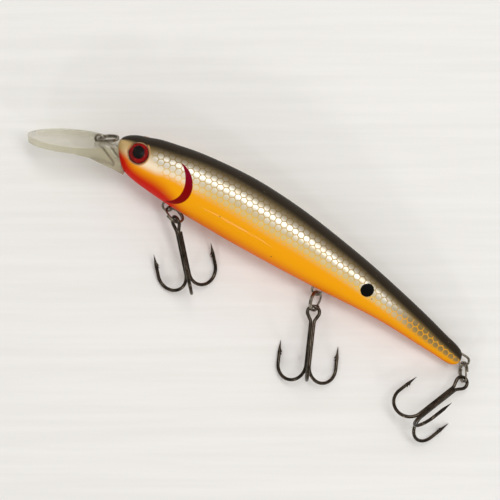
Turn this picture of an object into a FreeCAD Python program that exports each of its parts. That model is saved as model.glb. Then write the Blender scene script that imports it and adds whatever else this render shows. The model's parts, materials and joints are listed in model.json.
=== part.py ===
"""Deep-diving minnow crankbait: hollow two-piece body, clear diving lip, wire hangers, split rings and trebles.

The fish frame has x from nose to tail, y towards the fish's right side and z towards its back.
lay() turns it into the part's own frame: the lure lies on its right side on the surface z = 0.
Millimetres and degrees throughout.
"""

import FreeCAD, Part
import math
import os

V = FreeCAD.Vector

# ---- driving dimensions ----------------------------------------------------
BODY_LENGTH = 117.5
WALL = 1.4
NOSE_ROUND = 6.0
TAIL_ROUND = 2.4
# x along the body: middle height, half height, half width
BODY_SHAPE = [
    (0.0, 0.8, 4.3, 3.7),
    (3.0, 0.1, 5.2, 4.7),
    (6.0, -0.1, 6.0, 5.4),
    (9.0, 0.2, 7.0, 6.0),
    (20.6, 1.5, 8.9, 7.3),
    (38.2, 3.0, 9.9, 7.75),
    (55.8, 3.5, 9.3, 7.4),
    (73.4, 3.4, 7.65, 6.4),
    (82.3, 3.3, 6.5, 5.75),
    (91.1, 2.9, 5.4, 5.0),
    (99.9, 2.15, 4.5, 4.1),
    (108.7, 1.15, 3.6, 3.2),
    (BODY_LENGTH, 0.2, 2.5, 2.1),
]
STATIONS = [0.01, 0.15, 0.5, 1.2, 2.4, 4.0, 6.0, 9.0, 14.0, 20.0, 28.0, 38.0, 48.0, 58.0, 68.0, 78.0,
            88.0, 97.0, 105.0, 111.0, 115.1, 116.3, 117.0, 117.35, 117.49]
CAVITY_START = 16.0
CAVITY_END = 110.0
BULKHEADS = [33.0, 49.0, 92.0]
BULKHEAD_THICK = 1.0
LOCATING_PINS = [(40.0, 8.0), (74.0, 6.0), (101.0, 2.2)]
PIN_RADIUS = 1.0
PIN_LENGTH = 1.8
PIN_BOSS = 2.0
PAD_LENGTH = 11.0
PAD_HEIGHT = 5.5

LIP_ANGLE = 27.5
LIP_LENGTH = 26.5
LIP_THICK = 1.9
LIP_HALF_WIDTH = 9.3
TANG_BACK = 14.0
TANG_HALF_THICK = 1.6
NOSE_CUT_TOP = (0.0, 0.4)
NOSE_CUT_BOTTOM = (6.0, -6.2)

HANGER_WIRE = 0.35
HANGER_LOOP = 1.5
TAIL_LOOP = 1.45
FOOT_BEND = 0.8
TIE_SLOPE = 20.0
BELLY_DROP = 2.2
HANGER_X = {"front": 21.7, "rear": 71.3}
TAIL_EYE = (118.4, 0.8)
LINE_TIE_EYE = (-5.3, -2.0)
LINE_TIE_LOOP = 1.12

RING_RADIUS = 2.8
RING_RADIAL = 0.66
RING_TURN = 0.44
RING_GAP = 0.04
RING_CORNER = 0.14
RING_KINK = 35.0
RING_PLAY = 0.2
LINE_TIE_PLAY = 0.1

HOOK_WIRE = 0.5
HOOK_EYE = 1.75
HOOK_BOTTOM = 21.9
HOOK_TIP = 10.6
HOOK_REACH = 9.7
HOOK_TAPER = 3.2
SINGLE_START = 4.7
# each barb: distance back from the tip, size
BARBS = [(2.0, 0.8), (3.0, 0.65)]
BARB_THICK = 0.34
SHANK_GAP = 0.01

EYE_PLACE = (6.5, 2.4)
EYE_RADIUS = 2.95
EYE_SOCKET = 3.3
EYE_DISC = 0.5
EYE_DEPTH = 1.1
EYE_DOME = 1.25

BALLAST_RADIUS = 3.0
BALLAST_SPAN = (30.5, 51.5)
RATTLES = [(26.5, 5.0), (60.0, 5.0), (84.0, 4.0)]
RATTLE_SLACK = 0.35
RATTLE_WALL = 0.8

# ---- how it lies -----------------------------------------------------------
ROLL = 20.0
NOSE_UP = 3.5
# ring: angle round the hanger loop, swing to the side, twist about its pull, slip of the hook round it, kink.
# treble: play on the ring, heading and climb of the shank, roll of the single hook from straight up.
RIGS = {
    "front": {"round": 75.0, "swing": -35.0, "twist": 15.0, "slip": 25.0, "kink": 60.0,
              "play": 0.55, "heading": -46.0, "climb": -12.0, "roll": -122.0},
    "rear": {"round": 24.0, "swing": -12.0, "twist": 25.0, "slip": 0.0, "kink": -90.0,
             "play": 0.4, "heading": -64.0, "climb": 7.0, "roll": 0.0},
    "tail": {"round": 32.0, "swing": -18.0, "twist": -20.0, "slip": 0.0, "kink": 120.0,
             "play": 0.3, "heading": -111.0, "climb": 14.1, "roll": -8.0},
}
LINE_TIE_LEAN = 34.0


# ---- small tools -----------------------------------------------------------
def line(a, b):
    return Part.LineSegment(a, b).toShape()


def bow(a, through, b):
    return Part.Arc(a, through, b).toShape()


def slab(outline, low, high):
    """Solid with the given (x, z) outline, from y = low to y = high."""
    points = [V(x, low, z) for x, z in outline]
    face = Part.Face(Part.makePolygon(points + points[:1]))
    return face.extrude(V(0, high - low, 0))


def swept_wire(edges, radius):
    """Round wire along edges that run on, end to end and tangent, from the first one's start."""
    start = edges[0].valueAt(edges[0].FirstParameter)
    ahead = edges[0].tangentAt(edges[0].FirstParameter)
    circle = Part.Wire([Part.makeCircle(radius, start, ahead)])
    return Part.Wire(edges).makePipeShell([circle], True, False)


def unit(vector):
    return vector * (1.0 / vector.Length)


def turned(vector, axis, degrees):
    return FreeCAD.Rotation(axis, degrees).multVec(vector)


def stand(shape, origin, x_axis, z_axis):
    """Copy of a shape drawn about the origin, moved so that its x and z axes point as given."""
    y_axis = z_axis.cross(x_axis)
    turn = FreeCAD.Rotation(x_axis, y_axis, z_axis, "ZXY")
    moved = shape.copy()
    moved.Placement = FreeCAD.Placement(origin, turn)
    return moved


def biggest(shape):
    return max(shape.Solids, key=lambda solid: solid.Volume)


# ---- body surface ----------------------------------------------------------
def between(x, column):
    """Body value at x: cubic through the driving rows, with each row's slope from its neighbours."""
    rows = BODY_SHAPE
    i = max(k for k in range(len(rows) - 1) if rows[k][0] <= x)

    def slope(k):
        low = max(k - 1, 0)
        high = min(k + 1, len(rows) - 1)
        return (rows[high][column] - rows[low][column]) / (rows[high][0] - rows[low][0])

    step = rows[i + 1][0] - rows[i][0]
    t = (x - rows[i][0]) / step
    start = (2 * t**3 - 3 * t**2 + 1) * rows[i][column] + (t**3 - 2 * t**2 + t) * step * slope(i)
    end = (3 * t**2 - 2 * t**3) * rows[i + 1][column] + (t**3 - t**2) * step * slope(i + 1)
    return start + end


def section(x, inset=0.0):
    """Middle height, half height and half width of the body at x, less an inset all round."""
    nose = max(0.0, 1.0 - x / NOSE_ROUND)
    tail = max(0.0, 1.0 - (BODY_LENGTH - x) / TAIL_ROUND)
    share = math.sqrt(1.0 - nose**2) * math.sqrt(1.0 - tail**2)
    return between(x, 1), between(x, 2) * share - inset, between(x, 3) * share - inset


def half_section(x, inset, side):
    """Closed half-ellipse wire at x. side is -1 for the fish's left, +1 for its right."""
    middle, high, wide = section(x, inset)
    centre = V(x, 0, middle)
    oval = Part.Ellipse(centre + V(0, 0, high), centre + V(0, side * wide, 0), centre)
    curve = Part.ArcOfEllipse(oval, 0, math.pi).toShape()
    return Part.Wire([curve, line(curve.Vertexes[1].Point, curve.Vertexes[0].Point)])


def half_body(side):
    return Part.makeLoft([half_section(x, 0, side) for x in STATIONS], True, False)


def half_room(side, inset):
    """Hollow of one half, an inset inside its outer surface."""
    inner = [x for x in STATIONS if CAVITY_START < x < CAVITY_END]
    stations = [CAVITY_START] + inner + [CAVITY_END]
    return Part.makeLoft([half_section(x, inset, side) for x in stations], True, False)


def belly(x):
    middle, high, _ = section(x)
    return middle - high


# ---- body halves -----------------------------------------------------------
def ahead_of_nose():
    """Everything ahead of the slanting joint between the painted nose and the clear lip root."""
    (x0, z0), (x1, z1) = NOSE_CUT_TOP, NOSE_CUT_BOTTOM
    dx, dz = 3 * (x1 - x0), 3 * (z1 - z0)
    outline = [(x0 - dx, z0 - dz), (x1 + dx, z1 + dz), (-60.0, z1 + dz), (-60.0, z0 - dz)]
    return slab(outline, -20, 20)


def rattle_height(x):
    middle, high, _ = section(x)
    return middle + 0.12 * high


def rattle_bore(x, radius, side):
    return Part.makeCylinder(radius, 12, V(x, 0, rattle_height(x)), V(0, side, 0))


def rattle_travel(x, ball):
    """Furthest a rattle ball's centre goes from the middle plane before it meets the inner wall."""
    middle, high, wide = section(x, WALL)
    lift = (rattle_height(x) - middle + ball / 4) / high
    return wide * math.sqrt(1 - lift**2) - ball / 2 - RATTLE_SLACK


def bulkhead(x):
    """Stiffening plate across the hollow, with a round window above the middle."""
    middle, high, wide = section(x, WALL)
    plate = Part.makeBox(BULKHEAD_THICK, 20, 40, V(x - BULKHEAD_THICK / 2, -10, middle - 20))
    window = Part.makeCylinder(0.5 * wide, 4, V(x - 2, 0, middle + 0.35 * high), V(1, 0, 0))
    return plate.cut(window)


def fittings(side):
    """Bulkheads, pin bosses, hanger pads and rattle tubes of one half, rooted in its wall."""
    pieces = [bulkhead(x) for x in BULKHEADS]
    for x, z in LOCATING_PINS:
        pieces.append(Part.makeCylinder(PIN_BOSS, 12, V(x, 0, z), V(0, side, 0)))
    for x in HANGER_X.values():
        pieces.append(Part.makeBox(PAD_LENGTH, 8, PAD_HEIGHT + 2, V(x - PAD_LENGTH / 2, -4, belly(x) - 2)))
    for x, ball in RATTLES:
        pieces.append(rattle_bore(x, ball / 2 + RATTLE_SLACK + RATTLE_WALL, side))
    room = half_room(side, WALL / 2)
    return [piece.common(room) for piece in pieces]


def locating_pin(x, z, radius, length):
    return Part.makeCylinder(radius, length, V(x, -0.2, z), V(0, 1, 0))


def body_shell(side, cutters):
    """One moulded half of the body, with its own half of every pocket."""
    hollow = half_room(side, WALL)
    shell = half_body(side).cut(ahead_of_nose()).cut(hollow).multiFuse(fittings(side))
    for x, ball in RATTLES:
        shell = shell.cut(rattle_bore(x, ball / 2 + RATTLE_SLACK, side).common(hollow))
    for cutter in cutters:
        shell = shell.cut(cutter)
    for x, z in LOCATING_PINS:
        if side < 0:
            shell = shell.fuse(locating_pin(x, z, PIN_RADIUS, PIN_LENGTH))
        else:
            shell = shell.cut(locating_pin(x, z, PIN_RADIUS + 0.05, PIN_LENGTH + 0.3))
    return biggest(shell)


# ---- diving lip ------------------------------------------------------------
def lip_profile():
    """Side view of the lip: a thick root under the nose that thins to the blade."""
    slope = math.tan(math.radians(LIP_ANGLE))
    deep = LIP_THICK / math.cos(math.radians(LIP_ANGLE))
    tip = LIP_LENGTH * math.cos(math.radians(LIP_ANGLE))
    top = [(4.0, 0.0), (0.5, 0.0), (-tip, -tip * slope)]
    bottom = [(-tip, -tip * slope - deep), (-9.0, -9.0 * slope - deep), (-4.5, -5.7), (6.2, -6.2)]
    return slab(top + bottom, -12, 12)


def lip_outline():
    """Spoon outline of the lip, seen square to the blade, pushed through its thickness."""
    slope = math.radians(LIP_ANGLE)
    along = V(-math.cos(slope), 0, -math.sin(slope))
    normal = V(-math.sin(slope), 0, math.cos(slope))
    half = [(-9.0, 2.6), (-4.0, 3.3), (0.0, 4.4), (4.5, 7.0), (11.0, LIP_HALF_WIDTH), (17.0, 8.8), (22.5, 6.2)]
    points = half + [(LIP_LENGTH, 0.0)] + [(s, -w) for s, w in reversed(half)]
    curve = Part.BSplineCurve()
    curve.interpolate([along * s + V(0, w, 0) - normal * 15 for s, w in points])
    edge = curve.toShape()
    closing = line(edge.Vertexes[1].Point, edge.Vertexes[0].Point)
    return Part.Face(Part.Wire([edge, closing])).extrude(normal * 30)


def lip_tang():
    """Flat tongue behind the root, gripped between the two body halves."""
    outline = [(1.0, -0.8), (TANG_BACK, 1.2), (TANG_BACK, -3.6), (5.6, -5.0)]
    return slab(outline, -TANG_HALF_THICK, TANG_HALF_THICK)


def tang_pin(radius):
    """Cross pin moulded on the left half, through the hole in the lip's tongue."""
    return Part.makeCylinder(radius, 2 * TANG_HALF_THICK + 2, V(10.5, -TANG_HALF_THICK - 1, -1.2), V(0, 1, 0))


def diving_lip(tie_wire):
    nose = half_body(-1).fuse(half_body(1)).common(ahead_of_nose())
    blade = lip_profile().common(lip_outline()).common(ahead_of_nose())
    return biggest(blade.fuse(nose).fuse(lip_tang()).cut(tie_wire).cut(tang_pin(PIN_RADIUS + 0.05)))


# ---- wire eyes -------------------------------------------------------------
def wire_eye(centre, out, loop, leg, foot):
    """Bent wire in the fish's middle plane: an open eye facing out, two legs and two outward feet."""
    across = V(0, 1, 0).cross(out)

    def place(along, aside):
        return centre + out * along + across * aside

    bend = FOOT_BEND
    diagonal = bend * math.sin(math.radians(45))
    edges = []
    corner = -leg + bend
    edges.append(line(place(-leg, loop + bend + foot), place(-leg, loop + bend)))
    edges.append(bow(edges[-1].Vertexes[1].Point, place(corner - diagonal, loop + bend - diagonal),
                     place(corner, loop)))
    edges.append(line(place(corner, loop), place(0, loop)))
    edges.append(bow(place(0, loop), place(loop, 0), place(0, -loop)))
    edges.append(line(place(0, -loop), place(corner, -loop)))
    edges.append(bow(place(corner, -loop), place(corner - diagonal, -loop - bend + diagonal),
                     place(-leg, -loop - bend)))
    edges.append(line(place(-leg, -loop - bend), place(-leg, -loop - bend - foot)))
    return swept_wire(edges, HANGER_WIRE)


def hanger_centre(name):
    if name == "tail":
        return V(TAIL_EYE[0], 0, TAIL_EYE[1])
    x = HANGER_X[name]
    return V(x, 0, belly(x) - BELLY_DROP + HANGER_LOOP)


def hanger_loop(name):
    return TAIL_LOOP if name == "tail" else HANGER_LOOP


def hook_hanger(name):
    if name == "tail":
        return wire_eye(hanger_centre(name), V(1, 0, 0), TAIL_LOOP, 7.0, 0.5)
    return wire_eye(hanger_centre(name), V(0, 0, -1), HANGER_LOOP, 4.4, 1.6)


def line_tie_wire():
    slope = math.radians(TIE_SLOPE)
    out = V(-math.cos(slope), 0, math.sin(slope))
    return wire_eye(V(LINE_TIE_EYE[0], 0, LINE_TIE_EYE[1]), out, LINE_TIE_LOOP, 8.0, 0.2)


# ---- split rings -----------------------------------------------------------
def ring_section(angle, height):
    """Rounded oblong section of the ring's flattened wire, standing across it at an angle."""
    half_r, half_z, corner = RING_RADIAL / 2, RING_TURN / 2, RING_CORNER
    turn = FreeCAD.Rotation(V(0, 0, 1), angle)

    def place(r, z):
        return turn.multVec(V(RING_RADIUS + r, 0, height + z))

    middle = corner * (1 - math.cos(math.radians(45)))
    edges = []
    for sr, sz in ((1, 1), (-1, 1), (-1, -1), (1, -1)):
        into = place(sr * half_r, sz * (half_z - corner))
        out = place(sr * (half_r - corner), sz * half_z)
        through = place(sr * (half_r - middle), sz * (half_z - middle))
        if sr * sz < 0:
            into, out = out, into
        if edges:
            edges.append(line(edges[-1].Vertexes[-1].Point, into))
        edges.append(bow(into, through, out))
    edges.append(line(edges[-1].Vertexes[-1].Point, edges[0].Vertexes[0].Point))
    return Part.Wire(edges)


def split_ring(kink):
    """Two flat turns joined by a short climbing stretch, whose middle is at the angle kink."""
    layer = (RING_TURN + RING_GAP) / 2
    first, last = kink + RING_KINK, kink + 360 - RING_KINK
    pieces = []
    for height in (-layer, layer):
        face = Part.Face(ring_section(first, height))
        pieces.append(face.revolve(V(0, 0, 0), V(0, 0, 1), last - first))
    climb = []
    for share in (0.0, 0.2, 0.4, 0.6, 0.8, 1.0):
        ease = share * share * (3 - 2 * share)
        climb.append(ring_section(kink - RING_KINK + 2 * RING_KINK * share, layer * (2 * ease - 1)))
    pieces.append(Part.makeLoft(climb, True, False))
    return pieces[0].multiFuse(pieces[1:])


# ---- treble hooks ----------------------------------------------------------
def hook_bend(start, out):
    """Shank end, round bend and point leg, from the shank at start; out is the way the hook opens."""
    radius = (HOOK_REACH - HOOK_WIRE) / 2
    bottom = V(HOOK_BOTTOM - radius, start.y, start.z)
    far = bottom + out * (2 * radius)
    leg_end = V(HOOK_TIP + HOOK_TAPER, far.y, far.z)
    return [line(start, bottom), bow(bottom, bottom + out * radius + V(radius, 0, 0), far), line(far, leg_end)]


def hook_point(start, out):
    """Tapered point and its two cut barbs, on the end of a point leg."""
    side = start + out * (HOOK_REACH - HOOK_WIRE)
    base = V(HOOK_TIP + HOOK_TAPER, side.y, side.z)
    point = Part.makeCone(HOOK_WIRE, 0.04, HOOK_TAPER, base, V(-1, 0, 0))
    pieces = [point]
    thick = V(1, 0, 0).cross(out) * BARB_THICK
    for back, size in BARBS:
        root = V(HOOK_TIP + back, side.y, side.z) - thick * 0.5
        corners = [root - out * 0.1, root + V(1.5 * size, 0, 0) - out * 0.1,
                   root + V(1.9 * size, 0, 0) - out * (HOOK_WIRE + 0.55 * size)]
        pieces.append(Part.Face(Part.makePolygon(corners + corners[:1])).extrude(thick))
    return pieces


def reverse_edges(edges):
    """The same run of lines and arcs, walked from its far end."""
    back = []
    for edge in reversed(edges):
        first, last = edge.FirstParameter, edge.LastParameter
        a, b = edge.valueAt(last), edge.valueAt(first)
        if isinstance(edge.Curve, Part.Circle):
            back.append(bow(a, edge.valueAt((first + last) / 2), b))
        else:
            back.append(line(a, b))
    return back


def eye_half(side):
    """From the crown of the eye down one side to the start of the shank."""
    lean = math.radians(60)
    fillet = 2.0
    shank = side * (HOOK_WIRE + SHANK_GAP / 2)
    crown = V(0, 0, 0)
    shoulder = V(HOOK_EYE * (1 + math.cos(lean)), side * HOOK_EYE * math.sin(lean), 0)
    half = math.pi / 2 + lean / 2 - math.pi / 6
    through = V(HOOK_EYE * (1 - math.cos(half)), side * HOOK_EYE * math.sin(half), 0)
    drop = fillet * (1 - math.cos(math.pi / 2 - lean))
    run = (abs(shoulder.y) - abs(shank) - drop) / math.cos(lean)
    waist = shoulder + V(run * math.sin(lean), -side * run * math.cos(lean), 0)
    throat = V(waist.x + fillet * math.cos(lean), shank, 0)
    middle = math.pi / 4 - lean / 2
    near = V(throat.x - fillet * math.sin(middle), shank + side * fillet * (1 - math.cos(middle)), 0)
    return [bow(crown, through, shoulder), line(shoulder, waist), bow(waist, near, throat)]


def opening(side):
    return V(0, side * math.sin(math.radians(60)), -math.cos(math.radians(60)))


def double_hook():
    """One wire bent into the eye and two of the three hooks. The crown of the eye is the origin."""
    runs = []
    points = []
    for side in (1, -1):
        eye = eye_half(side)
        throat = eye[-1].Vertexes[-1].Point
        runs.append(eye + hook_bend(throat, opening(side)))
        points += hook_point(throat, opening(side))
    wire = swept_wire(reverse_edges(runs[0]) + runs[1], HOOK_WIRE)
    return biggest(wire.multiFuse(points))


def single_hook():
    """The third hook, laid in the groove between the other two shanks."""
    gap = HOOK_WIRE + SHANK_GAP / 2
    height = math.sqrt((2 * HOOK_WIRE + SHANK_GAP) ** 2 - gap**2)
    start = V(SINGLE_START, 0, height)
    wire = swept_wire(hook_bend(start, V(0, 0, 1)), HOOK_WIRE)
    return biggest(wire.multiFuse(hook_point(start, V(0, 0, 1))))


# ---- eyes and inside weights ------------------------------------------------
def eye_frame(side):
    """Centre of an eye on the body's surface, and the surface's outward direction there."""
    x, z = EYE_PLACE

    def surface(x, z):
        middle, high, wide = section(x)
        return wide * math.sqrt(1 - ((z - middle) / high) ** 2)

    step = 0.05
    fore = (surface(x + step, z) - surface(x - step, z)) / (2 * step)
    rise = (surface(x, z + step) - surface(x, z - step)) / (2 * step)
    return V(x, side * surface(x, z), z), unit(V(-fore, side, -rise))


def eye_pieces(side):
    """Socket cutter, coloured disc and clear dome of one eye."""
    centre, out = eye_frame(side)
    floor = centre - out * EYE_DEPTH
    socket = Part.makeCylinder(EYE_SOCKET, 6, floor, out)
    disc = Part.makeCylinder(EYE_RADIUS, EYE_DISC, floor, out)
    ball = (EYE_RADIUS**2 + EYE_DOME**2) / (2 * EYE_DOME)
    base = floor + out * EYE_DISC
    dome = Part.makeSphere(ball, base + out * (EYE_DOME - ball))
    dome = dome.common(Part.makeCylinder(EYE_RADIUS + 1, 6, base, out))
    return socket, disc, dome


def belly_ballast():
    """Round weight along the belly, held in the bulkheads."""
    ends = []
    for x in BALLAST_SPAN:
        middle, high, _ = section(x, WALL)
        ends.append(V(x, 0, middle - high + BALLAST_RADIUS + 1.0))
    run = ends[1] - ends[0]
    return Part.makeCylinder(BALLAST_RADIUS, run.Length, ends[0], run)


def rattle_ball(x, ball):
    return Part.makeSphere(ball / 2, V(x, rattle_travel(x, ball), rattle_height(x)))


# ---- lying pose ------------------------------------------------------------
def lying():
    tip = FreeCAD.Rotation(V(0, 1, 0), NOSE_UP)
    roll = FreeCAD.Rotation(V(1, 0, 0), ROLL - 90)
    return tip.multiply(roll)


def lay(vector):
    """A fish-frame direction or point, turned into the lying frame."""
    return lying().multVec(vector)


def rig(name):
    """Where one hook's ring and treble lie: ring centre, axes and pivots, in the lying frame."""
    pose = RIGS[name]
    round_loop = math.radians(pose["round"])
    out = V(math.sin(round_loop), 0, -math.cos(round_loop))
    tangent = lay(V(math.cos(round_loop), 0, math.sin(round_loop)))
    grip = lay(hanger_centre(name) + out * hanger_loop(name))
    pull = turned(lay(out), tangent, pose["swing"])
    cross = turned(pull.cross(tangent), pull, pose["twist"])
    inner = RING_RADIUS - RING_RADIAL / 2
    centre = grip + pull * (inner - HANGER_WIRE - RING_PLAY)
    normal = pull.cross(cross)
    pivot = centre + turned(pull, normal, pose["slip"]) * RING_RADIUS
    heading, climb = math.radians(pose["heading"]), math.radians(pose["climb"])
    shank = V(math.cos(climb) * math.cos(heading), math.cos(climb) * math.sin(heading), math.sin(climb))
    upright = unit(V(0, 0, 1) - shank * shank.z)
    open_way = turned(upright, shank, pose["roll"])
    crown = pivot - shank * (RING_RADIAL / 2 + pose["play"] + HOOK_WIRE)
    return {"grip": grip, "tangent": tangent, "pull": pull, "cross": cross, "centre": centre, "pivot": pivot,
            "along": turned(cross, normal, pose["slip"]), "shank": shank, "open": open_way, "crown": crown,
            "kink": pose["kink"]}


def line_tie_rig():
    """Where the line-tie ring lies: leaning back from its eye against the nose."""
    lean = math.radians(LINE_TIE_LEAN)
    pull = V(math.cos(lean), 0, math.sin(lean))
    start = V(LINE_TIE_EYE[0], 0, LINE_TIE_EYE[1])
    cross = lay(V(0, -1, 0))
    centre = start + pull * (RING_RADIUS - LINE_TIE_PLAY)
    return {"grip": lay(start), "pull": lay(pull), "cross": cross, "centre": lay(centre), "kink": 180.0}


def placed_ring(place):
    toward = place["pull"] * -1
    return stand(split_ring(place["kink"]), place["centre"], toward, unit(toward.cross(place["cross"])))


def fish_pieces():
    """Every piece that is fixed to the body, and the rattle balls, in the fish frame."""
    hangers = {name + "_hook_hanger": hook_hanger(name) for name in RIGS}
    tie = line_tie_wire()
    eyes = {side: eye_pieces(side) for side in (-1, 1)}
    ballast = belly_ballast()
    cutters = list(hangers.values()) + [tie, lip_tang(), eyes[-1][0], eyes[1][0], ballast]
    left = biggest(body_shell(-1, cutters).fuse(tang_pin(PIN_RADIUS)))
    pieces = {"body_shell_left": left, "body_shell_right": body_shell(1, cutters + [tang_pin(PIN_RADIUS)])}
    pieces["diving_lip"] = diving_lip(tie)
    pieces["line_tie_wire"] = tie
    pieces.update(hangers)
    pieces["belly_ballast"] = ballast
    for side, word in ((-1, "left"), (1, "right")):
        pieces["eye_disc_" + word] = eyes[side][1]
        pieces["eye_dome_" + word] = eyes[side][2]
    for number, (x, ball) in enumerate(RATTLES, 1):
        pieces[f"rattle_ball_{number}"] = rattle_ball(x, ball)
    return pieces


def all_pieces():
    """Every piece by name, lying down, and the shift that puts the origin under the middle of the whole."""
    pieces = {}
    for name, shape in fish_pieces().items():
        shape.Placement = FreeCAD.Placement(V(0, 0, 0), lying()).multiply(shape.Placement)
        pieces[name] = shape
    pieces["line_tie_split_ring"] = placed_ring(line_tie_rig())
    for name in RIGS:
        place = rig(name)
        pieces[name + "_split_ring"] = placed_ring(place)
        pieces[name + "_double_hook"] = stand(double_hook(), place["crown"], place["shank"], place["open"])
        pieces[name + "_single_hook"] = stand(single_hook(), place["crown"], place["shank"], place["open"])
    whole = Part.makeCompound(list(pieces.values())).optimalBoundingBox(False, False)
    shift = V(-whole.Center.x, -whole.Center.y, -whole.ZMin)
    for shape in pieces.values():
        shape.translate(shift)
    return pieces, shift


def main():
    os.makedirs("parts", exist_ok=True)
    pieces, _ = all_pieces()
    for name, shape in pieces.items():
        shape.exportStep(os.path.join("parts", name + ".step"))
        print(name, "valid" if shape.isValid() else "NOT VALID", len(shape.Solids), round(shape.Volume, 2))


if __name__ == "__main__":
    main()
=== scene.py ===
"""Looks of the deep-diving minnow crankbait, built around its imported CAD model.

Fish frame: millimetres, x from nose to tail, y towards the fish's right side, z towards its back.
Angles round the body run in degrees from -90 at the belly, through 0 at mid side, to 90 at the back.
"""

import json
import math
from types import SimpleNamespace

import bmesh
import bpy
import numpy as np
from mathutils import Matrix, Vector


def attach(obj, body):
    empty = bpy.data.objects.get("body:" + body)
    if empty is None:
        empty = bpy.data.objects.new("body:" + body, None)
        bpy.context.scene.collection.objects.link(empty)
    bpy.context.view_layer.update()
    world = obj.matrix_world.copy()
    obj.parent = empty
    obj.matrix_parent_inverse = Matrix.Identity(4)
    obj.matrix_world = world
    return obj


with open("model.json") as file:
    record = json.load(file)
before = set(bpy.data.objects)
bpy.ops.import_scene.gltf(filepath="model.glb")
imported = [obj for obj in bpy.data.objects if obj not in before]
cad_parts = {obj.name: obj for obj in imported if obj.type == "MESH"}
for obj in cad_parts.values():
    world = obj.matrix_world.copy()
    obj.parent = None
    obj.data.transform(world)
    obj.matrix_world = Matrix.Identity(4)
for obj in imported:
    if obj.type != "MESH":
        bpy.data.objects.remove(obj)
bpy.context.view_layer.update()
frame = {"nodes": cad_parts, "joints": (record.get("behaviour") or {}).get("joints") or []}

# ---- how the fish lies in the row frame ----
MM = 0.001
# The fish lies on its right side: in degrees, its back's direction rises by ROLL and its nose by NOSE_UP
ROLL = 20.0
NOSE_UP = 3.5
LAY = Matrix.Rotation(math.radians(NOSE_UP), 3, "Y") @ Matrix.Rotation(math.radians(ROLL - 90.0), 3, "X")

# Body: x, middle height, half height, half width
BODY_SHAPE = [
    (0.0, 0.8, 4.3, 3.7),
    (3.0, 0.1, 5.2, 4.7),
    (6.0, -0.1, 6.0, 5.4),
    (9.0, 0.2, 7.0, 6.0),
    (20.6, 1.5, 8.9, 7.3),
    (38.2, 3.0, 9.9, 7.75),
    (55.8, 3.5, 9.3, 7.4),
    (73.4, 3.4, 7.65, 6.4),
    (82.3, 3.3, 6.5, 5.75),
    (91.1, 2.9, 5.4, 5.0),
    (99.9, 2.15, 4.5, 4.1),
    (108.7, 1.15, 3.6, 3.2),
    (117.5, 0.2, 2.5, 2.1),
]
BODY_LENGTH = BODY_SHAPE[-1][0]

# Eye and spot: places in the side view as x, z, then radii, EYE_RIM being the tan ring's
EYE = (6.5, 2.4)
DOME_RADIUS = 2.95
PUPIL_RADIUS = 1.66
EYE_RIM = 3.4
SPOT = (82.6, 4.9)
SPOT_RADIUS = 1.95

# The gill mark lies between two arcs, each through three points
GILL_BACK = [(18.3, 7.0), (24.5, 3.7), (19.8, -5.9)]
GILL_FRONT = [(18.3, 7.0), (22.5, 2.6), (19.8, -5.9)]

# Lines along the body: x, angle round the body
BACK_LINE = [
    (0, 46), (6, 52), (14, 56), (25, 60), (45, 58), (73, 54), (90, 46), (104, 36), (BODY_LENGTH, 26),
]
ORANGE_LINE = [
    (0, -8), (4, -9), (8, -8), (13, -6), (19, -2), (25, -3), (45, -5), (73, -6), (90, -14), (104, -16),
    (BODY_LENGTH, -14),
]
RED_LINE = [
    (0, -16), (4, -22), (9, -37), (15, -36), (20, -44), (26, -66), (40, -88), (BODY_LENGTH, -88),
]

# Stretches along x over which the print changes
HEAD_STRETCH = (32.0, 18.0)
TAIL_STRETCH = (84.0, 104.0)
SCALES_START = (9.4, 12.2)
SCALE_PITCH = 1.9

RIGS = ["front", "rear", "tail"]

# The hook wire's radius, and the gap between a treble's shanks
HOOK_RADIUS = 0.5
SHANK_GAP = 0.01


def vertices(node):
    """Rest places of a CAD node's vertices, in metres, one row each."""
    mesh = frame["nodes"][node].data
    flat = np.zeros(len(mesh.vertices) * 3, np.float32)
    mesh.vertices.foreach_get("co", flat)
    return flat.reshape(-1, 3).astype(float)


def find_nose():
    """Fish frame's zero point in the row frame, in metres, read from the two shells' extent."""
    both = np.vstack([vertices("body_shell_left"), vertices("body_shell_right")])
    turned = both @ np.array(LAY) / MM
    belly_line = min(row[1] - row[2] for row in BODY_SHAPE)
    low = turned.min(0)
    high = turned.max(0)
    zero = Vector((low[0], (low[1] + high[1]) / 2.0, low[2] - belly_line))
    return LAY @ zero * MM


NOSE = find_nose()


def seen(red, green, blue):
    """Linear colour for one given as screen values, 0 to 255, by the sRGB curve."""
    values = []
    for value in (red, green, blue):
        share = value / 255.0
        values.append(share / 12.92 if share < 0.04 else ((share + 0.055) / 1.055) ** 2.4)
    return (*values, 1.0)


def body_column(index):
    """One column of the body's shape, as (x, value) points."""
    return [(row[0], row[index]) for row in BODY_SHAPE]


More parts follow.
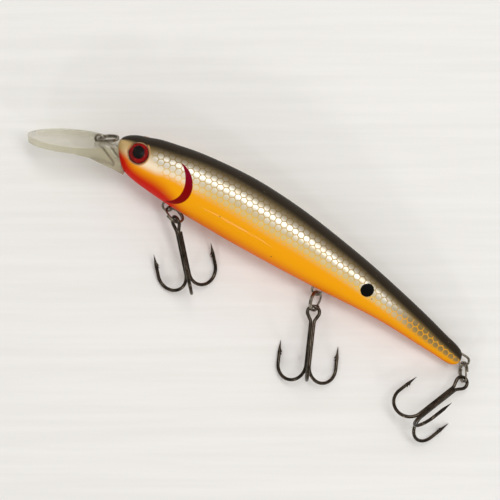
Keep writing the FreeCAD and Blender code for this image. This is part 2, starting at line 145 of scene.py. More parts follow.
class Paint:
    """One node material, put together by short calls."""

    def __init__(self, name):
        self.material = bpy.data.materials.new(name)
        self.material.use_nodes = True
        self.tree = self.material.node_tree
        self.shader = self.tree.nodes["Principled BSDF"]

    def set(self, **values):
        """Shader inputs by name, with _ for a space."""
        for name, value in values.items():
            self.put(self.shader.inputs[name.replace("_", " ")], value)

    def put(self, socket, value):
        """Link a socket, or set it to a plain value."""
        if isinstance(value, bpy.types.NodeSocket):
            self.tree.links.new(value, socket)
        else:
            socket.default_value = value

    def node(self, kind, **settings):
        made = self.tree.nodes.new("ShaderNode" + kind)
        for name, value in settings.items():
            setattr(made, name, value)
        return made

    def math(self, operation, *values):
        made = self.node("Math", operation=operation)
        for socket, value in zip(made.inputs, values):
            self.put(socket, value)
        return made.outputs[0]

    def fade(self, value, start, end, low=0.0, high=1.0):
        """Smooth step: low while value is at start, high once it is at end."""
        made = self.node("MapRange", interpolation_type="SMOOTHSTEP")
        for socket, setting in zip(made.inputs, (value, start, end, low, high)):
            self.put(socket, setting)
        return made.outputs[0]

    def times(self, *values):
        made = values[0]
        for value in values[1:]:
            made = self.math("MULTIPLY", made, value)
        return made

    def mix(self, share, low, high):
        """Colour between low at share 0 and high at share 1."""
        made = self.node("Mix", data_type="RGBA")
        self.put(made.inputs[0], share)
        self.put(made.inputs[6], low)
        self.put(made.inputs[7], high)
        return made.outputs[2]

    def blend(self, share, low, high):
        """Number between low at share 0 and high at share 1."""
        made = self.node("Mix", data_type="FLOAT")
        self.put(made.inputs[0], share)
        self.put(made.inputs[2], low)
        self.put(made.inputs[3], high)
        return made.outputs[0]

    def object_place(self):
        """Place in the object's own metres."""
        return self.node("TexCoord").outputs["Object"]

    def object_mm(self):
        """Place in the object's own millimetres."""
        return self.stretched(self.object_place(), (1.0 / MM, 1.0 / MM, 1.0 / MM))

    def fish_place(self):
        """Place in the fish frame, in millimetres."""
        made = self.node("Mapping", vector_type="TEXTURE")
        self.put(made.inputs["Vector"], self.object_place())
        made.inputs["Location"].default_value = NOSE
        made.inputs["Rotation"].default_value = LAY.to_euler()
        made.inputs["Scale"].default_value = (MM, MM, MM)
        return made.outputs[0]

    def split(self, place):
        made = self.node("SeparateXYZ")
        self.put(made.inputs[0], place)
        return made.outputs[0], made.outputs[1], made.outputs[2]

    def join(self, x, y, z):
        made = self.node("CombineXYZ")
        for socket, value in zip(made.inputs, (x, y, z)):
            self.put(socket, value)
        return made.outputs[0]

    def stretched(self, place, scale):
        made = self.node("VectorMath", operation="MULTIPLY")
        self.put(made.inputs[0], place)
        made.inputs[1].default_value = scale
        return made.outputs[0]

    def noise(self, place, scale, detail=3.0, roughness=0.5):
        made = self.node("TexNoise")
        self.put(made.inputs["Vector"], place)
        made.inputs["Scale"].default_value = scale
        made.inputs["Detail"].default_value = detail
        made.inputs["Roughness"].default_value = roughness
        return made.outputs[0]

    def specks(self, place, scale, size):
        """1 inside scattered round dots, size a share of their spacing."""
        made = self.node("TexVoronoi")
        self.put(made.inputs["Vector"], place)
        made.inputs["Scale"].default_value = scale
        return self.fade(made.outputs["Distance"], size, size * 0.6)

    def along(self, x, points, low, high):
        """Smooth curve through (x, value) points down the body, all of them between low and high."""
        made = self.node("FloatCurve")
        curve = made.mapping.curves[0]
        places = [(px / BODY_LENGTH, (value - low) / (high - low)) for px, value in points]
        curve.points[0].location = places[0]
        curve.points[1].location = places[-1]
        for place in places[1:-1]:
            curve.points.new(*place)
        made.mapping.update()
        self.put(made.inputs["Value"], self.math("DIVIDE", x, BODY_LENGTH))
        return self.math("MULTIPLY_ADD", made.outputs[0], high - low, low)

    def bump(self, height, strength, distance):
        """Relief in the normal, distance in metres."""
        made = self.node("Bump")
        made.inputs["Strength"].default_value = strength
        made.inputs["Distance"].default_value = distance
        self.put(made.inputs["Height"], height)
        self.put(self.shader.inputs["Normal"], made.outputs[0])

    def apart(self, x, z, centre):
        """Distance in the side view from a centre, in mm."""
        across = self.math("SUBTRACT", x, centre[0])
        up = self.math("SUBTRACT", z, centre[1])
        return self.math("SQRT", self.math("ADD", self.times(across, across), self.times(up, up)))


def circle_through(points):
    """Centre and radius of the circle through three side-view points."""
    (ax, az), (bx, bz), (cx, cz) = points
    double = 2.0 * (ax * (bz - cz) + bx * (cz - az) + cx * (az - bz))
    a, b, c = ax * ax + az * az, bx * bx + bz * bz, cx * cx + cz * cz
    x = (a * (bz - cz) + b * (cz - az) + c * (az - bz)) / double
    z = (a * (cx - bx) + b * (ax - cx) + c * (bx - ax)) / double
    return (x, z), math.hypot(ax - x, az - z)


# ---- body paint ----
BACK = seen(42, 33, 21)
OLIVE = seen(112, 90, 46)
PEARL = seen(226, 221, 208)
CREAM = seen(248, 228, 196)
TAN = seen(186, 164, 122)
SILVER = seen(210, 200, 178)
SHADED_SILVER = seen(160, 152, 138)
GOLD = seen(196, 164, 98)
DULL_GOLD = seen(158, 134, 84)
SAND = seen(218, 188, 120)
YELLOW = seen(240, 186, 62)
PALE_YELLOW = seen(238, 204, 136)
BROWN = seen(134, 110, 62)
ORANGE = seen(246, 164, 0)
TAIL_ORANGE = seen(228, 158, 34)
DEEP_ORANGE = seen(226, 104, 0)
RED = seen(204, 22, 0)
GILL_RED = seen(130, 0, 0)
GILL_PLUM = seen(128, 0, 34)
NOSE_TAN = seen(200, 168, 112)
EYE_TAN = seen(206, 150, 92)
EYE_GAP_SHADE = seen(38, 16, 10)
# painted shade: the dark line in the gap between each eye dome and its socket
SPECK = seen(64, 52, 30)
HAIRLINE = seen(186, 176, 156)
BLACK = seen(8, 7, 6)

# Where each part of the print fades in, from none to full.
# Degrees above the back line:
BACK_IN = (-13.0, 7.0)
TAN_IN = (-46.0, -16.0)
DULL_GOLD_IN = (-34.0, -8.0)
FOIL_DOWN_IN = (2.0, -22.0)

# Degrees below the orange line:
SAND_IN = (-36.0, -12.0)
YELLOW_IN = (-34.0, -12.0)
CHEEK_ORANGE_IN = (-16.0, 4.0)
BELLY_IN = (-4.0, 12.0)
FOIL_UP_IN = (-12.0, -34.0)
COAT_UP_IN = (14.0, -16.0)

# Degrees below the red line, then degrees round the body:
THROAT_IN = (-38.0, 4.0)
DEEP_ORANGE_IN = (-22.0, -68.0)

# Millimetres along x:
NOSE_TAN_IN = (5.5, 1.5)
GILL_TIP_IN = (17.6, 18.0)
THROAT_FORWARD_IN = (29.0, 21.0)
BROWN_IN = (86.0, 102.0)

# Millimetres up z, out from the middle plane, and in from a scale's edge:
NOSE_TAN_UP_IN = (-2.0, 0.2)
PLUM_IN = (1.0, 6.0)
EYE_RING_IN = (3.0, 3.7)
SEAM_IN = (0.09, 0.03)
SCALE_IN = (0.05, 0.21)

# Where the coat thins, in degrees above the back line, and the foil, along x
COAT_THINS = (-10.0, 6.0)
FOIL_THINS = (84.0, 102.0)

# Fades that shift towards the tail: their limits ahead of it, then at its end
SHOULDER_IN = ((-30.0, -4.0), (-14.0, -4.0))
SCALE_ORANGE_IN = ((-18.0, 0.0), (-18.0, 12.0))
OUTLINE_ORANGE_IN = ((-20.0, 0.0), (-60.0, -34.0))


def scale_cells(p, x, arc):
    """Staggered six-sided scales, from places along the body and round it, in mm.

    Gives the distance in from the cell's edge in mm, the cell's own place, and the height in the cell.
    """
    row = math.sqrt(3.0)
    half_cell = 0.5
    corner_cut = 0.035
    across = p.math("DIVIDE", x, SCALE_PITCH)
    up = p.math("DIVIDE", arc, SCALE_PITCH)

    def offset(value, size, shift):
        turned = p.math("FRACT", p.math("DIVIDE", p.math("SUBTRACT", value, shift), size))
        return p.times(p.math("SUBTRACT", turned, 0.5), size)

    ax = offset(across, 1.0, 0.0)
    ay = offset(up, row, 0.0)
    bx = offset(across, 1.0, half_cell)
    by = offset(up, row, row / 2.0)
    a_far = p.math("ADD", p.times(ax, ax), p.times(ay, ay))
    b_far = p.math("ADD", p.times(bx, bx), p.times(by, by))
    second = p.math("GREATER_THAN", a_far, b_far)
    gx = p.blend(second, ax, bx)
    gy = p.blend(second, ay, by)
    wide = p.math("ABSOLUTE", gx)
    tall = p.math("ABSOLUTE", gy)
    slant = p.math("ADD", p.times(wide, 0.5), p.times(tall, row / 2.0))
    corner = p.math("SQRT", p.math("ADD", p.times(gx, gx), p.times(gy, gy)))
    flats = p.math("MAXIMUM", wide, slant)
    rounded = p.math("MAXIMUM", flats, p.math("SUBTRACT", corner, corner_cut))
    inward = p.times(p.math("SUBTRACT", half_cell, rounded), SCALE_PITCH)
    cell = p.join(p.math("SUBTRACT", across, gx), p.math("SUBTRACT", up, gy), 0.0)
    return inward, cell, gy


def body_fields(p):
    """What the print is laid out by: place, angle round the body, and masks along it."""
    f = SimpleNamespace(place=p.fish_place())
    f.x, f.y, f.z = p.split(f.place)
    f.aside = p.math("ABSOLUTE", f.y)
    middle = p.along(f.x, body_column(1), low=-2.0, high=6.0)
    high = p.along(f.x, body_column(2), low=0.0, high=12.0)
    wide = p.along(f.x, body_column(3), low=0.0, high=12.0)
    up = p.math("DIVIDE", p.math("SUBTRACT", f.z, middle), high)
    turn = p.math("ARCTAN2", up, p.math("DIVIDE", f.aside, wide))
    arc = p.times(turn, high, 0.95)

    # the print's lines wander by up to three degrees
    wander = p.math("SUBTRACT", p.noise(p.stretched(f.place, (0.05, 0.12, 0.12)), scale=1.0), 0.5)
    f.angle = p.math("ADD", p.times(turn, 180.0 / math.pi), p.times(wander, 6.0))
    f.above_back = p.math("SUBTRACT", f.angle, p.along(f.x, BACK_LINE, low=0.0, high=90.0))
    f.below_orange = p.math("SUBTRACT", p.along(f.x, ORANGE_LINE, low=-60.0, high=60.0), f.angle)
    f.below_red = p.math("SUBTRACT", p.along(f.x, RED_LINE, low=-90.0, high=0.0), f.angle)
    f.head = p.fade(f.x, *HEAD_STRETCH)
    f.tail = p.fade(f.x, *TAIL_STRETCH)

    # the scales start further back low on the cheek
    inward, f.cell, f.rise = scale_cells(p, f.x, arc)
    f.inside = p.fade(inward, *SCALE_IN)
    start = p.fade(f.angle, 30.0, 2.0, low=0.0, high=4.0)
    f.scaled = p.fade(p.math("SUBTRACT", f.x, start), *SCALES_START)
    return f


def tail_fade(p, f, value, limits, high=1.0):
    """Fade whose start and end go from the first pair of limits to the second towards the tail."""
    (first_start, first_end), (last_start, last_end) = limits
    start = p.blend(f.tail, first_start, last_start)
    end = p.blend(f.tail, first_end, last_end)
    return p.fade(value, start, end, low=0.0, high=high)


def scale_print(p, f):
    """Silver scales in gold outlines: orange towards the belly, brown towards the tail."""
    each_own = p.fade(p.noise(f.cell, scale=3.1, detail=0.0), 0.35, 0.65)
    silver = p.mix(p.math("MAXIMUM", each_own, p.times(f.head, 0.9)), SILVER, PEARL)
    silver = p.mix(p.fade(f.rise, 0.5, -0.5, low=0.0, high=0.28), silver, SHADED_SILVER)
    silver = p.mix(p.fade(f.x, *BROWN_IN), silver, BROWN)
    sandy = p.fade(f.below_orange, *SAND_IN, low=0.0, high=p.blend(f.tail, 0.95, 0.1))
    silver = p.mix(sandy, silver, p.mix(f.head, SAND, CREAM))
    silver = p.mix(tail_fade(p, f, f.below_orange, SCALE_ORANGE_IN), silver, ORANGE)

    outline = p.mix(p.fade(f.above_back, *DULL_GOLD_IN), GOLD, DULL_GOLD)
    outline = p.mix(p.fade(f.below_orange, *YELLOW_IN), outline, p.mix(f.head, YELLOW, PALE_YELLOW))
    hidden = tail_fade(p, f, f.below_orange, OUTLINE_ORANGE_IN)
    outline = p.mix(hidden, outline, p.mix(f.tail, ORANGE, TAIL_ORANGE))
    return p.mix(f.inside, outline, silver)


def ground_print(p, f):
    """The soft bands: cream cheek, scales, olive shoulder, orange belly, red throat and dark back."""
    plain = p.mix(p.fade(f.above_back, *TAN_IN), CREAM, TAN)
    plain = p.mix(p.fade(f.below_orange, *CHEEK_ORANGE_IN), plain, ORANGE)
    flank = p.mix(f.scaled, plain, scale_print(p, f))
    flank = p.mix(tail_fade(p, f, f.above_back, SHOULDER_IN, high=0.9), flank, OLIVE)
    belly = p.mix(p.fade(f.angle, *DEEP_ORANGE_IN), ORANGE, DEEP_ORANGE)
    flank = p.mix(p.fade(f.below_orange, *BELLY_IN), flank, belly)
    throat = p.times(p.fade(f.below_red, *THROAT_IN), p.fade(f.x, *THROAT_FORWARD_IN))
    flank = p.mix(throat, flank, RED)
    by_lip = p.times(p.fade(f.x, *NOSE_TAN_IN), p.fade(f.z, *NOSE_TAN_UP_IN))
    flank = p.mix(by_lip, flank, NOSE_TAN)
    return p.mix(p.fade(f.above_back, *BACK_IN), flank, BACK)


def eye_ring(p, f, flank):
    """Tan ring round each eye, with a line of painted shade in the gap by the dome, kept off the top of
    the head.
    """
    eye = p.apart(f.x, f.z, EYE)
    beside = p.fade(f.aside, *EYE_RING_IN)
    ring = p.times(p.fade(eye, EYE_RIM + 0.2, EYE_RIM - 0.1), beside)
    # painted shade: a dark line in the gap round the dome
    line = p.times(p.fade(eye, DOME_RADIUS + 0.17, DOME_RADIUS + 0.07), beside)
    return p.mix(line, p.mix(ring, flank, EYE_TAN), EYE_GAP_SHADE)


def gill_mask(p, f):
    """1 inside the crescent between the gill mark's two arcs."""
    soft = 0.07
    rear_centre, rear_radius = circle_through(GILL_BACK)
    front_centre, front_radius = circle_through(GILL_FRONT)
    in_rear = p.fade(p.apart(f.x, f.z, rear_centre), rear_radius + soft, rear_radius - soft)
    out_front = p.fade(p.apart(f.x, f.z, front_centre), front_radius - soft, front_radius + soft)
    return p.times(in_rear, out_front, p.fade(f.x, *GILL_TIP_IN))


def spot_mask(p, f):
    """1 inside the slightly ragged spot near the tail."""
    soft = 0.06
    ragged = p.times(p.math("SUBTRACT", p.noise(f.place, scale=1.3), 0.5), 0.35)
    from_middle = p.math("ADD", p.apart(f.x, f.z, SPOT), ragged)
    return p.fade(from_middle, SPOT_RADIUS + soft, SPOT_RADIUS - soft)


def handling_marks(p, f, flank):
    """A few dark specks and hair scratches."""
    speck = p.times(p.specks(f.place, scale=0.16, size=0.045), 0.75)
    grain = p.noise(p.stretched(f.place, (0.16, 2.6, 2.6)), scale=1.0, detail=2.0)
    scratch = p.fade(grain, 0.735, 0.765, low=0.0, high=0.35)
    return p.mix(scratch, p.mix(speck, flank, SPECK), HAIRLINE)


def body_finish(p, f, seam, marked):
    """Foil shine on the scales, a clear coat that thins on belly and back, and fine relief.

    The marked places stay matt.
    """
    unmarked = p.math("SUBTRACT", 1.0, marked)
    foil = p.times(f.inside, f.scaled, p.fade(f.below_orange, *FOIL_UP_IN))
    foil = p.times(foil, p.fade(f.above_back, *FOIL_DOWN_IN), p.fade(f.x, *FOIL_THINS, low=1.0, high=0.35))
    foil = p.times(foil, unmarked)
    p.set(Metallic=p.times(foil, 0.5), Roughness=p.blend(foil, 0.5, 0.31))
    coat = p.fade(f.below_orange, *COAT_UP_IN, low=0.06, high=0.5)
    coat = p.times(coat, p.fade(f.above_back, *COAT_THINS, low=1.0, high=0.4))
    p.set(Coat_Weight=p.times(coat, unmarked), Coat_Roughness=0.05, Coat_IOR=1.42)
    p.set(Specular_IOR_Level=0.05)
    dimples = p.noise(f.place, scale=0.9, detail=2.0)
    relief = p.math("ADD", p.times(foil, 0.5), p.times(dimples, 0.5))
    p.bump(p.math("SUBTRACT", relief, p.times(seam, 1.2)), strength=0.35, distance=0.04 * MM)


def body_paint():
    p = Paint("painted_body")
    f = body_fields(p)
    flank = eye_ring(p, f, ground_print(p, f))
    gill = gill_mask(p, f)
    flank = p.mix(gill, flank, p.mix(p.fade(f.z, *PLUM_IN), GILL_RED, GILL_PLUM))
    spot = spot_mask(p, f)
    flank = handling_marks(p, f, p.mix(spot, flank, BLACK))

    # moulded seam along the middle plane
    seam = p.fade(f.aside, *SEAM_IN)
    p.set(Base_Color=p.mix(p.times(seam, 0.35), flank, BLACK))
    body_finish(p, f, seam, p.math("MAXIMUM", spot, gill))
    return p.material


# ---- other materials ----
WORN_PLATING = seen(196, 188, 174)
LIP_FACE = seen(226, 222, 203)
# the colour of scratches, also used for painted shade near the body
LIP_RIM = seen(206, 198, 160)
LIP_SCUFF_AND_SHADE = seen(170, 158, 120)
IRIS_DARK = seen(110, 0, 4)
IRIS_BRIGHT = seen(250, 14, 10)
IRIS_EDGE = seen(40, 2, 4)
RESIN_CLEAR = seen(255, 252, 250)
RESIN_SMEARED = seen(246, 240, 236)
SOLDER_DARK = seen(38, 35, 32)
SOLDER_LIGHT = seen(84, 78, 70)
BEAD_FRONT = seen(214, 156, 96)
BEAD_REAR = seen(176, 112, 62)
BEAD_STAIN = seen(92, 44, 24)
BOARD_DARK = seen(236, 234, 230)
BOARD_LIGHT = seen(241, 239, 236)

# Over this stretch of x the lip gets painted shade, stronger towards the body
LIP_ROOT = (-15.0, -3.0)

# Wires: dark and light plating, roughness, how much of it is worn
WIRES = {
    "black_nickel_wire": (seen(36, 31, 26), seen(80, 71, 60), 0.16, 0.4),
    "split_ring_steel": (seen(96, 88, 76), seen(150, 142, 128), 0.22, 0.5),
    "nickel_wire": (seen(104, 96, 84), seen(160, 152, 138), 0.24, 0.45),
    "ballast_steel": (seen(120, 120, 120), seen(170, 170, 168), 0.3, 0.3),
}


def wire_metal(name):
    """Plated wire: cloudy plating, fine drawing marks and worn lighter patches."""
    dark, light, roughness, wear = WIRES[name]
    p = Paint(name)
    place = p.object_mm()
    cloud = p.noise(place, scale=0.55, detail=4.0, roughness=0.6)
    fine = p.noise(place, scale=4.5, detail=3.0, roughness=0.65)
    patches = p.noise(place, scale=1.7, detail=5.0, roughness=0.7)
    worn = p.fade(patches, 0.60, 0.74, low=0.0, high=wear)
    tint = p.mix(p.fade(cloud, 0.3, 0.7), dark, light)
    p.set(Base_Color=p.mix(worn, tint, WORN_PLATING), Metallic=1.0)
    p.set(Roughness=p.fade(fine, 0.25, 0.8, low=roughness * 0.7, high=roughness * 1.5))
    p.bump(fine, strength=0.25, distance=0.03 * MM)
    return p.material


def lip_rim(p):
    """1 on the lip's narrow faces, 0 on its two broad ones, by how far they turn from its flat."""
    points = vertices("diving_lip")
    flat_normal = np.linalg.svd(points - points.mean(0), full_matrices=False)[2][2]
    turned = p.node("VectorMath", operation="DOT_PRODUCT")
    p.put(turned.inputs[0], p.node("TexCoord").outputs["Normal"])
    turned.inputs[1].default_value = flat_normal
    return p.fade(p.math("ABSOLUTE", turned.outputs["Value"]), 0.75, 0.35)


def lip_plastic():
    """Clear, faintly yellowed sheet: denser at its rim, scratched by use, with painted shade towards the
    body.
    """
    p = Paint("clear_lip")
    place = p.fish_place()
    rim = lip_rim(p)
    grain = p.noise(p.stretched(place, (0.35, 3.2, 3.2)), scale=1.0, detail=4.0, roughness=0.7)
    scratch = p.fade(grain, 0.61, 0.69)
    broad = p.noise(place, scale=0.22, detail=3.0)
    # painted shade: darker and rougher towards the body, standing in for the dark refraction by the nose
    painted_shade_by_body = p.times(p.fade(p.split(place)[0], *LIP_ROOT), 0.45)
    scratched = p.times(scratch, p.fade(broad, 0.35, 0.6, low=0.35, high=1.0))
    scuffs_and_shade = p.math("MAXIMUM", scratched, painted_shade_by_body)
    p.set(Base_Color=p.mix(scuffs_and_shade, p.mix(rim, LIP_FACE, LIP_RIM), LIP_SCUFF_AND_SHADE))
    p.set(Roughness=p.blend(scuffs_and_shade, 0.07, 0.34), IOR=1.49, Transmission_Weight=0.86)
    p.set(Alpha=p.math("ADD", p.blend(rim, 0.6, 0.74), p.times(scuffs_and_shade, 0.24)))
    p.bump(p.math("ADD", broad, p.times(scratch, -0.3)), strength=0.3, distance=0.1 * MM)
    return p.material


def eye_print():
    """Red foil iris with brighter rays and a black pupil."""
    p = Paint("eye_print")
    x, _, z = p.split(p.fish_place())
    far = p.apart(x, z, EYE)
    turn = p.math("ARCTAN2", p.math("SUBTRACT", z, EYE[1]), p.math("SUBTRACT", x, EYE[0]))
    round_pupil = p.join(p.times(turn, 3.0), p.times(far, 0.35), 0.0)
    rays = p.noise(round_pupil, scale=2.4, detail=4.0, roughness=0.7)
    iris = p.mix(p.fade(rays, 0.36, 0.62), IRIS_DARK, IRIS_BRIGHT)
    iris = p.mix(p.fade(far, 2.5, 2.9), iris, IRIS_EDGE)
    pupil = p.fade(far, PUPIL_RADIUS + 0.12, PUPIL_RADIUS - 0.05)
    p.set(Base_Color=p.mix(pupil, iris, BLACK))
    p.set(Metallic=p.times(p.math("SUBTRACT", 1.0, pupil), 0.25))
    p.set(Roughness=p.fade(rays, 0.2, 0.8, low=0.3, high=0.55), Specular_IOR_Level=0.15)
    return p.material


def eye_resin():
    """Clear domed resin with a slightly uneven gloss."""
    p = Paint("eye_resin")
    smear = p.noise(p.object_mm(), scale=0.8, detail=3.0)
    p.set(Base_Color=p.mix(smear, RESIN_CLEAR, RESIN_SMEARED))
    p.set(Roughness=p.fade(smear, 0.3, 0.7, low=0.01, high=0.05), IOR=1.19, Transmission_Weight=1.0)
    p.bump(smear, strength=0.03, distance=0.03 * MM)
    return p.material


def braze_metal():
    """Dark lumpy solder."""
    p = Paint("braze_fillet")
    lump = p.noise(p.object_mm(), scale=1.4, detail=4.0, roughness=0.6)
    p.set(Base_Color=p.mix(p.fade(lump, 0.3, 0.7), SOLDER_DARK, SOLDER_LIGHT), Metallic=0.9)
    p.set(Roughness=p.fade(lump, 0.25, 0.75, low=0.28, high=0.5))
    p.bump(lump, strength=0.5, distance=0.1 * MM)
    return p.material


def bead_paint():
    """Glossy tan paint, browner towards the tail and stained in places."""
    p = Paint("eye_bead_paint")
    place = p.fish_place()
    tan = p.mix(p.fade(p.split(place)[0], 4.0, 9.0), BEAD_FRONT, BEAD_REAR)
    p.set(Base_Color=p.mix(p.fade(p.noise(place, scale=0.7), 0.45, 0.7), tan, BEAD_STAIN))
    p.set(Roughness=0.3, Coat_Weight=1.0, Coat_Roughness=0.05)
    return p.material


def floor_paint():
    """White painted board with faint brushed lines."""
    p = Paint("floor_white")
    brushed = p.stretched(p.object_place(), (12.0, 300.0, 1.0))
    lines = p.noise(brushed, scale=1.0, detail=4.0, roughness=0.6)
    p.set(Base_Color=p.mix(p.fade(lines, 0.3, 0.7), BOARD_DARK, BOARD_LIGHT), Roughness=0.6)
    p.bump(lines, strength=0.35, distance=0.2 * MM)
    return p.material


def give(material, *nodes):
    """Put one material on CAD nodes, in place of theirs."""
    for name in nodes:
        slots = frame["nodes"][name].data.materials
        slots.clear()
        slots.append(material)


def dress_nodes():
    give(body_paint(), "body_shell_left", "body_shell_right")
    give(lip_plastic(), "diving_lip")
    give(eye_print(), "eye_disc_left", "eye_disc_right")
    give(eye_resin(), "eye_dome_left", "eye_dome_right")
    give(wire_metal("ballast_steel"), "belly_ballast", "rattle_ball_1", "rattle_ball_2", "rattle_ball_3")
    hook = wire_metal("black_nickel_wire")
    ring = wire_metal("split_ring_steel")
    hanger = wire_metal("nickel_wire")
    give(hanger, "line_tie_wire")
    give(ring, "line_tie_split_ring")
    for rig in RIGS:
        give(hanger, rig + "_hook_hanger")
        give(ring, rig + "_split_ring")
        give(hook, rig + "_double_hook", rig + "_single_hook")


# ---- added pieces ----
# Share of the longest edge from which an edge belongs to a straight shank
LONG_EDGE = 0.8

# The braze along the shanks, in mm; its reach as shares of the shanks' distance from the middle line
BRAZE_START = 0.4
BRAZE_LENGTH = 11.0
BRAZE_END_REACH = 0.30
BRAZE_SWELL = 0.36
GROOVE_DEPTH = 0.22

# The bead's ring lies this far outside the dome and above the eye disc's middle; half its width and height
BEAD_OUT = 0.16
BEAD_LIFT = 0.42
BEAD_HALF_WIDTH = 0.13
BEAD_HALF_HEIGHT = 0.12


def new_mesh(name, points, faces, material, smooth=True):
    """A new object in the row frame, with its faces turned outwards."""
    mesh = bpy.data.meshes.new(name)
    mesh.from_pydata([tuple(point) for point in points], [], faces)
    shape = bmesh.new()
    shape.from_mesh(mesh)
    bmesh.ops.recalc_face_normals(shape, faces=shape.faces)
    shape.to_mesh(mesh)
    shape.free()
    for face in mesh.polygons:
        face.use_smooth = smooth
    mesh.materials.append(material)
    made = bpy.data.objects.new(name, mesh)
    bpy.context.collection.objects.link(made)
    return made


def tube_faces(rings, around, closed=False):
    """Quads joining rings of points, with end caps unless the rings close on themselves."""
    faces = []
    for i in range(rings if closed else rings - 1):
        for k in range(around):
            a = i * around
            b = (i + 1) % rings * around
            faces.append((a + k, a + (k + 1) % around, b + (k + 1) % around, b + k))
    if not closed:
        faces.append(tuple(range(around))[::-1])
        faces.append(tuple(range((rings - 1) * around, rings * around)))
    return faces


def treble_axis(rig):
    """Where a treble's three shanks run, read from the long straight edges of its single hook.

    Gives the top of the bundle's middle line, its direction, the direction out to the single hook's
    shank, and the distance from the middle line to each shank's own, in metres.
    """
    joint = next(j for j in frame["joints"] if j["name"] == rig + "_treble_swing")
    pivot = np.array(joint["pos_m"])
    points = vertices(rig + "_single_hook")
    mesh = frame["nodes"][rig + "_single_hook"].data
    ends = np.array([edge.vertices[:] for edge in mesh.edges])
    reach = np.linalg.norm(points[ends[:, 0]] - points[ends[:, 1]], axis=1)
    straight = np.unique(ends[reach > LONG_EDGE * reach.max()])
    far = np.linalg.norm(points[straight] - pivot, axis=1)
    middle = (far.min() + far.max()) / 2.0
    start = points[straight[far < middle]].mean(0)
    bend = points[straight[far > middle]].mean(0)
    axis = (bend - start) / np.linalg.norm(bend - start)
    lean = points.mean(0) - bend
    outward = lean - axis * np.dot(lean, axis)
    outward = outward / np.linalg.norm(outward)
    offset = (2.0 * HOOK_RADIUS + SHANK_GAP) / math.sqrt(3.0) * MM
    return Vector(start - outward * offset), Vector(axis), Vector(outward), offset


def braze(rig, material):
    """Solder that fills the grooves between a treble's three shanks."""
    top, axis, outward, offset = treble_axis(rig)
    side = axis.cross(outward)
    rings, around = 30, 24
    points = []
    for i in range(rings):
        share = i / (rings - 1)
        taper = min(1.0, 6.0 * share, 5.0 * (1.0 - share)) ** 0.5
        wobble = 0.03 * math.sin(9.0 * share) + 0.02 * math.sin(23.0 * share + 1.0)
        reach = offset * (BRAZE_END_REACH + BRAZE_SWELL * taper + wobble)
        for k in range(around):
            turn = 2.0 * math.pi * k / around
            groove = 1.0 - GROOVE_DEPTH * math.cos(3.0 * turn)
            spot = outward * math.cos(turn) + side * math.sin(turn)
            points.append(top + axis * (BRAZE_START + BRAZE_LENGTH * share) * MM + spot * reach * groove)
    piece = new_mesh(rig + "_braze_fillet", points, tube_faces(rings, around), material)
    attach(piece, rig + "_treble")


def eye_bead(side, material):
    """Thin raised bead of paint round an eye dome."""
    points = vertices("eye_disc_" + side)
    centre = points.mean(0)
    normal = Vector(np.linalg.svd(points - centre, full_matrices=False)[2][2])
    outward = LAY @ Vector((0, -1 if side == "left" else 1, 0))
    if normal.dot(outward) < 0:
        normal = -normal
    centre = Vector(centre)
    first = normal.orthogonal().normalized()
    second = normal.cross(first)
    rings, around = 72, 12
    places = []
    for i in range(rings):
        turn = 2.0 * math.pi * i / rings
        out = first * math.cos(turn) + second * math.sin(turn)
        for k in range(around):
            lean = 2.0 * math.pi * k / around
            reach = (DOME_RADIUS + BEAD_OUT + BEAD_HALF_WIDTH * math.cos(lean)) * MM
            lift = (BEAD_LIFT + BEAD_HALF_HEIGHT * math.sin(lean)) * MM
            places.append(centre + out * reach + normal * lift)
    piece = new_mesh("eye_bead_" + side, places, tube_faces(rings, around, True), material)
    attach(piece, "lure_body")


def add_pieces():
    solder = braze_metal()
    for rig in RIGS:
        braze(rig, solder)
    bead = bead_paint()
    for side in ("left", "right"):
        eye_bead(side, bead)


# ---- floor, light and camera ----
# The photograph's right-hand direction in the row frame, and how far it turns from x
PHOTO_RIGHT = Vector((0.8428, 0.5382, 0.0))
PHOTO_TURN = math.atan2(PHOTO_RIGHT.y, PHOTO_RIGHT.x)

# From the fish's zero point to the middle of the picture
VIEW_CENTRE = Vector((48.4, -5.58, 0.0)) * MM
CAMERA_HEIGHT = 530.0 * MM
SENSOR_WIDTH = 36.0

# The picture is FIELD wide at FIELD_DISTANCE from the camera
FIELD = 143.75 * MM
FIELD_DISTANCE = 520.0 * MM

# In metres; the floor lies just under the model, so that the two don't share a plane
FLOOR_HALF = 1.5
FLOOR_DROP = 0.00002

DAYLIGHT = (1.0, 0.995, 0.98)
# Lights: name, place in metres, width and height in metres, watts; each one faces the origin
LIGHTS = [
    ("key_light", (0.09, 0.32, 1.00), (0.95, 0.30), 4.7),
    ("window_light", (0.10, -0.92, 0.48), (0.13, 0.10), 1.1),
    ("side_light", (0.80, -0.35, 0.60), (0.08, 0.14), 0.8),
]

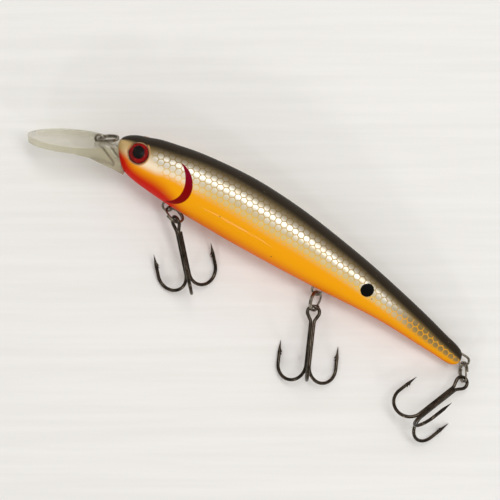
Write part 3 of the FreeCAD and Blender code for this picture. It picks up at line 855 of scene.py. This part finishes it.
# The world's light is dimmer overhead: its strength fades over these heights of the unit direction
AIR_COLOUR = (1.0, 0.995, 0.985, 1.0)
AIR_FADE = {"From Min": 0.70, "From Max": 0.97, "To Min": 0.64, "To Max": 0.34}


def area_light(name, place, size, watts):
    data = bpy.data.lights.new(name, "AREA")
    data.shape = "RECTANGLE"
    data.size, data.size_y = size
    data.energy = watts
    data.color = DAYLIGHT
    lamp = bpy.data.objects.new(name, data)
    lamp.location = place
    lamp.rotation_mode = "QUATERNION"
    lamp.rotation_quaternion = Vector(place).to_track_quat("Z", "Y")
    bpy.context.collection.objects.link(lamp)


def floor():
    corners = [(-FLOOR_HALF, -FLOOR_HALF, 0), (FLOOR_HALF, -FLOOR_HALF, 0),
               (FLOOR_HALF, FLOOR_HALF, 0), (-FLOOR_HALF, FLOOR_HALF, 0)]
    board = new_mesh("floor", corners, [(0, 1, 2, 3)], floor_paint(), smooth=False)
    board.location.z = -FLOOR_DROP
    board.rotation_euler.z = PHOTO_TURN


def studio_air():
    world = bpy.data.worlds.new("studio_air")
    world.use_nodes = True
    tree = world.node_tree
    air = tree.nodes["Background"]
    place = tree.nodes.new("ShaderNodeTexCoord")
    split = tree.nodes.new("ShaderNodeSeparateXYZ")
    fade = tree.nodes.new("ShaderNodeMapRange")
    for name, value in AIR_FADE.items():
        fade.inputs[name].default_value = value
    air.inputs["Color"].default_value = AIR_COLOUR
    tree.links.new(place.outputs["Generated"], split.inputs["Vector"])
    tree.links.new(split.outputs["Z"], fade.inputs["Value"])
    tree.links.new(fade.outputs["Result"], air.inputs["Strength"])
    bpy.context.scene.world = world


def camera():
    data = bpy.data.cameras.new("photo_camera")
    data.sensor_width = SENSOR_WIDTH
    data.lens = SENSOR_WIDTH * FIELD_DISTANCE / FIELD
    made = bpy.data.objects.new("photo_camera", data)
    centre = NOSE + VIEW_CENTRE
    made.location = (centre.x, centre.y, CAMERA_HEIGHT)
    made.rotation_euler.z = PHOTO_TURN
    bpy.context.collection.objects.link(made)
    bpy.context.scene.camera = made


dress_nodes()
add_pieces()
floor()
for light in LIGHTS:
    area_light(*light)
studio_air()
camera()
bpy.context.scene.view_settings.view_transform = "Standard"
